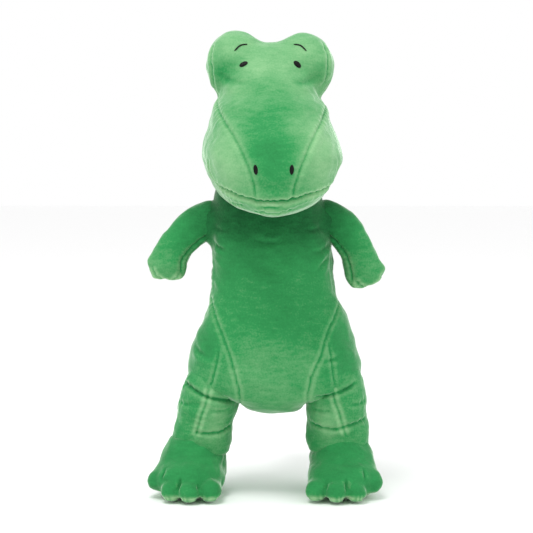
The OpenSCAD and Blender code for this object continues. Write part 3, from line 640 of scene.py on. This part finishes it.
legShape = {
    "right": [(-31, -5, 97), (-35.6, -7, 79), (-39.6, -7, 68), (-43, -6, 57), (-44.9, -4, 45), (-46, -3, 34),
              (-46, -3, 22)],
    "left": [(39, -5, 97), (43.9, -7, 79), (46.8, -7, 68), (47.6, -6, 57), (48.6, -4, 45), (48.8, -3, 34),
             (48.4, -3, 22)],
    "stout": {"right": 1.01, "left": 1.065},
    "sizes": [(0, 0.3, 0.3), (0.035, 9, 9), (0.12, 17, 18), (0.24, 20.2, 23.5), (0.4, 20.2, 23.5),
              (0.52, 19.9, 22.5),
              (0.6, 19.4, 21.2), (0.7, 20.2, 21.4), (0.78, 20.5, 20.8), (0.86, 20.0, 20.0), (0.93, 17, 17),
              (0.98, 9, 9), (1, 0.3, 0.3)],
    # x from the middle of the leg, and height, towards the outside: folds and the front seam
    "fold": {"right": [(7, 45), (-4, 44.5), (-12, 45), (-20, 49)],
             "left": [(19, 53), (8, 50), (-4, 47.5), (-12, 48.5), (-20, 51)]},
    "creases": [[(-19, 62), (-11, 60), (-4, 60.5)], [(19, 66), (12, 64), (6, 65)]],
    "seam": [(-5, 78), (-3, 68), (1, 56), (5, 42)],
    "grid": (200, 150), "bumps": 0.5,
    "paleness": 0.01, "innerPale": 0.1, "innerAt": (-8, 52), "innerReach": (8, 13),  # the inner panel is brushed up
    "sewn": {
        "fold": {"depth": 1.4, "width": 1.3, "puff": 0.5, "pucker": 0.35, "fade": 5, "dark": 0.12, "pale": 0.05},
        "hipFold": {"depth": 1.9, "width": 1.5, "puff": 0.9, "pucker": 0.25, "fade": 6, "dark": 0.16, "pale": 0.05},
        "creases": {"depth": 0.8, "width": 1.6, "puff": 0.35, "pucker": 0.3, "fade": 5, "dark": 0.05, "pale": 0.04},
        "seam": {"depth": 0.55, "puff": 0.2, "pucker": 0.35, "fade": 3, "dark": 0.04, "pale": 0.14},
    },
}
tailShape = {
    "path": [(0, 22, 99), (0, 34, 98), (0, 60, 92.5), (0, 90, 85), (0, 112, 80.5), (0, 125, 79.5)],
    "sizes": [(0, 0.3, 0.3), (0.03, 12, 12), (0.1, 18.5, 18.5), (0.2, 19.5, 19.5), (0.4, 17.5, 17),
              (0.6, 13.5, 13),
              (0.8, 9, 8.6), (0.93, 5.4, 5.2), (0.98, 3.2, 3.1), (1, 0.3, 0.3)],
    "grid": (132, 140), "bumps": 0.5,
    "top": [(0, 40), (0, 80), (0, 122)], "under": [(0, 46), (0, 80), (0, 120)],
}


def makeArm(side, seed):
    # A tube, with lobes that rise as a bell curve at the tip, one seam over the tip and one underneath
    look, path = armShape, np.array(armShape[side], float)
    skin = makeTube(path, look["sizes"], *look["grid"], seed, look["bumps"])
    sign = -1 if side == "right" else 1
    tip = path[-1]
    for x, y, z, rise in look["lobes"]:
        near = np.linalg.norm(skin["points"] - tip - [sign * x, y + 4, z + 3], axis=-1)
        skin["push"] += rise * np.exp(-(near / look["lobeReach"]) ** 2)
        skin["tone"] += look["lobePale"] * np.exp(-(near / 3.6) ** 2)
    end = np.array(look["end"]) * [sign, 1] + tip[[0, 2]]
    sew(skin, layOn(skin, end), phase=seed, **look["sewn"]["end"])
    root = np.linalg.norm(skin["points"] - path[1], axis=-1)
    # painted shadow under the head, round the shoulder
    skin["tone"] += look["paleness"] - look["rootShadow"] * np.exp(-(root / look["rootReach"]) ** 2)
    under = path + [-sign * 5.5, 0, -7]
    under[-2:] = path[-2:] + [-sign * 9, 0, 1]
    sew(skin, layOn(skin, under[1:, [0, 2]]), phase=seed, **look["sewn"]["under"])
    return finishSkin(skin)


def makeLeg(side, seed):
    # A tube with folds; its routes are drawn from the middle of the leg, outwards
    look, sewn = legShape, legShape["sewn"]
    sizes = np.array(look["sizes"]) * [1, look["stout"][side], 1]
    skin = makeTube(look[side], sizes, *look["grid"], seed, look["bumps"])
    out = np.array([-1 if side == "right" else 1, 1])
    at = np.array([look[side][4][0], 0])
    for key, routes in (("fold", [look["fold"][side]]), ("creases", look["creases"]), ("seam", [look["seam"]])):
        for route in routes:
            sew(skin, layOn(skin, np.array(route) * out + at), **sewn[key])
    sew(skin, layOn(skin, torsoShape["hipFold"][side]), **sewn["hipFold"])
    sideways = ((skin["points"][..., 0] - at[0]) * out[0] - look["innerAt"][0]) / look["innerReach"][0]
    up = (skin["points"][..., 2] - look["innerAt"][1]) / look["innerReach"][1]
    skin["tone"] += look["paleness"] + look["innerPale"] * np.exp(-sideways**2 - up**2)
    return finishSkin(skin)


def makeTail():
    # A tapering tube with a seam along its top and one along its underside
    skin = makeTube(tailShape["path"], tailShape["sizes"], *tailShape["grid"], 9, tailShape["bumps"])
    sew(skin, layOn(skin, tailShape["top"], (0, 0, 1)), pucker=0.25)
    sew(skin, layOn(skin, tailShape["under"], (0, 0, -1)), phase=2, pucker=0.25)
    return finishSkin(skin)


limbs = {}
for side, seed in (("right", 5), ("left", 7)):
    limbs[side + "Arm"] = makeArm(side, seed)
    limbs[side + "Leg"] = makeLeg(side, seed + 4)
tail = makeTail()
print("arms, legs and tail made")

footShape = {
    "at": {"right": (-49.4, -3.0), "left": (49.2, -3.0)}, "turn": {"right": 13.0, "left": 4.0},
    # toes from the inner to the outer: x outwards, y, height of the middle, radius
    "toes": [(-19.0, -37.0, 8.2, 7.6), (-6.0, -43.5, 7.6, 7.2), (7.0, -41.5, 7.8, 7.2), (20.3, -28.0, 12.3, 7.4)],
    "instep": [(1.5, -17, 13), (24.8, 26, 16)], "vamp": [(3.5, -7, 21), (20.8, 21, 20)],
    "heel": [(2, 7, 14), (20, 18, 16)], "ankle": [(-2.2, 0, 41), (0.9, 2, 24), 20.1], "blend": 2.6,
    "edge": 3.6, "edgePale": 0.26,  # the sole's seam: its height, and how pale its pile is
    "seamTop": 39.5, "seamDip": 0.034,
    "grid": (150, 300), "frontShare": 0.35, "castFrom": (0, -12, 14), "reach": 62, "lumps": (0.5, 0.2),
    "cleft": {"depth": 1.2, "width": 1.2, "puff": 0.3, "pucker": 0, "fade": 4, "dark": 0.1, "pale": 0.06},
}


def footField(p):
    # The foot in its own place, x outwards: heel, vamp and instep run together, then four toes, flat underneath
    foot = joined(ball(p, *footShape["vamp"]), ball(p, *footShape["heel"]), 8)
    foot = joined(foot, rod(p, *footShape["ankle"]), 6)
    foot = joined(foot, ball(p, *footShape["instep"]), 6)
    for x, y, z, r in footShape["toes"]:
        foot = joined(foot, rod(p, (0.85 * x, 0.75 * y, z + 1.5), (x, y, z), r), footShape["blend"])
    dip = footShape["seamTop"] - footShape["seamDip"] * np.maximum(-p[..., 0], 0) ** 2
    foot = cutBy(foot, p[..., 2] - dip, 2.5)
    return cutBy(foot, -p[..., 2], 4)


def makeFoot(side, seed):
    # The field's surface cast from one inner point, with a cleft between each two toes and the sole's seam
    high, wide = (int(n * rows) for n in footShape["grid"])
    ways = roundWays(wide, np.linspace(-np.pi / 2, np.pi / 2, high), footShape["frontShare"])
    start = np.array(footShape["castFrom"], float)
    skin = startSkin(castSkin(footField, start, ways, footShape["reach"]), start)
    height = skin["points"][..., 2]
    large, small = footShape["lumps"]
    lifted = np.clip(height / 4, 0, 1)  # the sole stays flat
    addLumps(skin, [(large, 20, seed), (small, 9, seed + 1)], lifted)
    toes = footShape["toes"]
    for a, b in zip(toes[:-1], toes[1:]):
        x, y = (a[0] + b[0]) / 2, (a[1] + b[1]) / 2
        sew(skin, layOn(skin, [(0.96 * x, y + 1), (x, y - 5)], (0, 0, 1)), **footShape["cleft"])
    # the pile that is caught in the sole's seam stands in pale tufts
    turns = np.arctan2(skin["points"][..., 1], skin["points"][..., 0])
    tufts = 1 + 0.35 * np.sin(70 * turns + 2 * np.sin(23 * turns))
    skin["tone"] += footShape["edgePale"] * tufts * np.exp(-((height - footShape["edge"]) / 2.2) ** 2) - 0.05
    skin["push"] -= 0.6 * np.exp(-((height - footShape["edge"]) / 0.8) ** 2)
    if side == "right":  # the right foot is the left one mirrored, with each ring run the other way round
        for key in ("points", "normals", "core"):
            skin[key] = skin[key][:, ::-1] * [-1, 1, 1]
        skin["push"], skin["tone"] = skin["push"][:, ::-1], skin["tone"][:, ::-1]
    degrees = footShape["turn"][side] * (1 if side == "left" else -1)
    for key in ("points", "core"):
        skin[key] = turned(skin[key], degrees, np.zeros(3)) + [*footShape["at"][side], 0]
    skin["normals"] = turned(skin["normals"], degrees, np.zeros(3))
    skin = finishSkin(skin)
    skin["points"][..., 2] = np.maximum(skin["points"][..., 2], 0)
    return skin


feet = {side: makeFoot(side, seed) for side, seed in (("right", 13), ("left", 15))}
print("feet made")

# Each skin takes its panels' place; the arm, leg and tail skins have their transforms baked in
replaced = {
    "headSkin": ["face_panel", "right_cheek_panel", "left_cheek_panel", "jaw_panel",
                 "right_head_back_panel", "left_head_back_panel"],
    "torsoSkin": ["belly_panel", "right_back_panel", "left_back_panel", "neck_gusset", "tail_gusset",
                  "right_shoulder_gusset", "left_shoulder_gusset", "right_hip_gusset", "left_hip_gusset"],
}
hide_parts(*replaced["headSkin"])
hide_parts(*replaced["torsoSkin"])


def across(piece, child, start, end):
    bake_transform(piece)


for side in ("right", "left"):
    arm = pieceFrom(side + "ArmSkin", limbs[side + "Arm"], plush)
    path = armShape[side]
    across(arm, side + "_arm", path[0], path[2])
    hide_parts(side + "_arm_front_panel", side + "_arm_back_panel")
    leg = pieceFrom(side + "LegSkin", limbs[side + "Leg"], plush)
    path = legShape[side]
    across(leg, side + "_leg", (path[1][0], -6, 86), (path[2][0], -6, 63))
    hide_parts(side + "_leg_outer_panel", side + "_leg_inner_panel")
    foot = pieceFrom(side + "FootSkin", feet[side], plush)
    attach(foot, side + "_leg")
    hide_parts(side + "_foot_upper", side + "_foot_sole")
tailPiece = pieceFrom("tailSkin", tail, plush)
across(tailPiece, "tail", (0, 26, 98), (0, 52, 94))
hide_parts("right_tail_panel", "left_tail_panel")

stitchShape = {
    "eye": {"at": (18.0, 95.6), "shift": 0.0, "size": (3.0, 1.9), "turn": {"right": 29.0, "left": 47.0}, "rise": 0.9},
    "nostril": {"at": (11.5, 25.8), "shift": 1.9, "size": (1.4, 3.2), "turn": {"right": 8.0, "left": 3.0},
                "rise": 0.8},
    "brow": {"route": [(15.6, 109.4), (20.2, 108.4), (24.2, 104.6)], "radius": 0.5},
}


def onFace(x, height):
    # The head's surface straight behind a place in the front view, and which way it faces there:
    # means over the front's grid points, each counting as the bell curve of its distance
    at = turned(np.array([x, -60.0, neckZ + height]), headShape["turn"], np.zeros(3))
    front = (head["normals"][..., 1] < -0.2) & (head["points"][..., 1] < 0)  # not the pocket for the neck
    flat, normals = head["points"][front], head["normals"][front]
    share = np.exp(-((flat[:, 0] - at[0]) ** 2 + (flat[:, 2] - at[2]) ** 2) / 1.2)
    share /= share.sum()
    normal = share @ normals
    return np.array([at[0], share @ flat[:, 1], at[2]]), normal / np.linalg.norm(normal)


def satinOval(name, side, shape):
    # A low oval cushion of parallel stitches: its height is the root of one less the squared radius
    at, normal = onFace(side * shape["at"][0] + shape["shift"], shape["at"][1])
    right = np.cross(np.array([0, 0, 1.0]), normal)
    right /= np.linalg.norm(right)
    up = np.cross(normal, right)
    turn = np.radians(-side * shape["turn"]["left" if side > 0 else "right"])
    a = np.cos(turn) * right + np.sin(turn) * up
    b = -np.sin(turn) * right + np.cos(turn) * up
    high, wide = 22, 48
    t = np.linspace(-1, 1, high)[:, None]
    u = np.linspace(0, 2 * np.pi, wide, endpoint=False)
    ring = np.sqrt(np.maximum(1 - np.abs(t) ** 2.4, 0))
    x = shape["size"][0] * ring * np.cos(u)
    y = shape["size"][1] * ring * np.sin(u)
    ridges = 0.09 * np.sin(x * 2 * np.pi / 0.62) * ring
    z = t * shape["rise"] + ridges * (t > 0)
    points = at + x[..., None] * a + y[..., None] * b + z[..., None] * normal
    return pieceFrom(name, finishSkin(startSkin(points, at)), blackThread)


def satinArc(name, side, shape):
    # A bundle of stitches laid along an arc: a tube whose radius ripples at the stitch spacing
    route = np.array(shape["route"], float)
    along = np.concatenate([[0], np.cumsum(np.linalg.norm(np.diff(route, axis=0), axis=1))])
    dense = np.linspace(0, along[-1], 40)
    xs, heights = (smoothThrough(dense, along, route[:, k]) for k in (0, 1))
    places = [onFace(side * x, height) for x, height in zip(xs, heights)]
    line = np.array([p + 0.25 * n for p, n in places])
    ahead = np.gradient(line, axis=0)
    ahead /= np.linalg.norm(ahead, axis=1, keepdims=True)
    out = np.array([n for p, n in places])
    sideWay = np.cross(out, ahead)
    sideWay /= np.linalg.norm(sideWay, axis=1, keepdims=True)
    u = np.linspace(0, 2 * np.pi, 16, endpoint=False)
    s = np.linspace(0, 1, 40)
    ridges = 1 + 0.08 * np.sin(dense * 2 * np.pi / 0.7)
    radius = shape["radius"] * (1 - np.abs(2 * s - 1) ** 6) ** 0.5 * ridges + 0.01
    points = (line[:, None, :] + (radius[:, None] * np.cos(u))[..., None] * sideWay[:, None, :]
              + (radius[:, None] * np.sin(u))[..., None] * np.cross(ahead, sideWay)[:, None, :])
    return pieceFrom(name, finishSkin(startSkin(points, line[:, None, :])), blackThread)


for side, sign in (("right", -1), ("left", 1)):
    for kind in ("eye", "nostril"):
        piece = satinOval(side + kind.capitalize(), sign, stitchShape[kind])
        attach(piece, "head")
        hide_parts(side + "_" + kind)
    piece = satinArc(side + "Brow", sign, stitchShape["brow"])
    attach(piece, "head")
    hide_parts(side + "_brow")
print("face stitched")

# Fillings inside the skins, and finishes for the CAD pieces that stay

for name, skin, body in (("headFilling", head, "head"), ("torsoFilling", torso, "torso"),
                         ("rightArmFilling", limbs["rightArm"], "right_arm"),
                         ("leftArmFilling", limbs["leftArm"], "left_arm"),
                         ("rightLegFilling", limbs["rightLeg"], "right_leg"),
                         ("leftLegFilling", limbs["leftLeg"], "left_leg"),
                         ("rightFootFilling", feet["right"], "right_leg"),
                         ("leftFootFilling", feet["left"], "left_leg"),
                         ("tailFilling", tail, "tail")):
    filling = fillingFrom(name, skin, fibre)
    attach(filling, body)
    node = "".join("_" + c.lower() if c.isupper() else c for c in name)
    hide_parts(node)
for node, obj in frame["nodes"].items():
    if "pellet" in node:
        obj.data.materials.clear()
        obj.data.materials.append(calico)
    if "stitches" in node:
        obj.data.materials.clear()
        obj.data.materials.append(greenThread)

studio = {"distance": 1.15, "rise": 4.0, "azimuth": 0.0, "aim": (-0.001, 0.1575), "fill": 0.895,
          "world": 1.0, "sensor": 36.0, "height": 0.332,
          # each lamp: place, width and power
          "keyLight": ((-0.35, -0.6, 1.6), 0.7, 13.0), "sideLight": ((1.2, -0.5, 0.7), 0.8, 2.0)}


def paleFloor():
    size = 6.0
    verts = [(-size, -size, 0), (size, -size, 0), (size, size, 0), (-size, size, 0)]
    floor = meshFrom("floor", np.array(verts), np.array([[0, 1, 2, 3]]), np.zeros((0, 3), int))
    paper = bpy.data.materials.new("whitePaper")
    paper.use_nodes = True
    shader = paper.node_tree.nodes["Principled BSDF"]
    shader.inputs["Base Color"].default_value = linear("#fbfbfb")
    shader.inputs["Roughness"].default_value = 0.9
    floor.data.materials.append(paper)


def softLight(name, at, size, power, aim=(0, 0, 0.16)):
    light = bpy.data.lights.new(name, "AREA")
    light.shape, light.size, light.energy = "DISK", size, power
    obj = bpy.data.objects.new(name, light)
    obj.location = at
    obj.rotation_euler = (Vector(aim) - Vector(at)).to_track_quat("-Z", "Y").to_euler()
    bpy.context.scene.collection.objects.link(obj)


def makeStudio():
    paleFloor()
    softLight("keyLight", *studio["keyLight"])
    softLight("sideLight", *studio["sideLight"])
    world = bpy.data.worlds.new("studio")
    bpy.context.scene.world = world
    world.use_nodes = True
    world.node_tree.nodes["Background"].inputs["Color"].default_value = linear("#ffffff")
    world.node_tree.nodes["Background"].inputs["Strength"].default_value = studio["world"]
    bpy.context.scene.view_settings.view_transform = "Standard"
    camera = bpy.data.cameras.new("camera")
    camera.sensor_width = studio["sensor"]
    camera.lens = studio["sensor"] * studio["distance"] * studio["fill"] / studio["height"]
    obj = bpy.data.objects.new("camera", camera)
    aim = Vector((studio["aim"][0], middleY / 1000, studio["aim"][1]))
    rise, turn = np.radians(studio["rise"]), np.radians(studio["azimuth"])
    away = Vector((-np.sin(turn) * np.cos(rise), -np.cos(turn) * np.cos(rise), np.sin(rise)))
    obj.location = aim + away * studio["distance"]
    obj.rotation_euler = (-away).to_track_quat("-Z", "Y").to_euler()
    bpy.context.scene.collection.objects.link(obj)
    bpy.context.scene.camera = obj


makeStudio()
print("studio made")
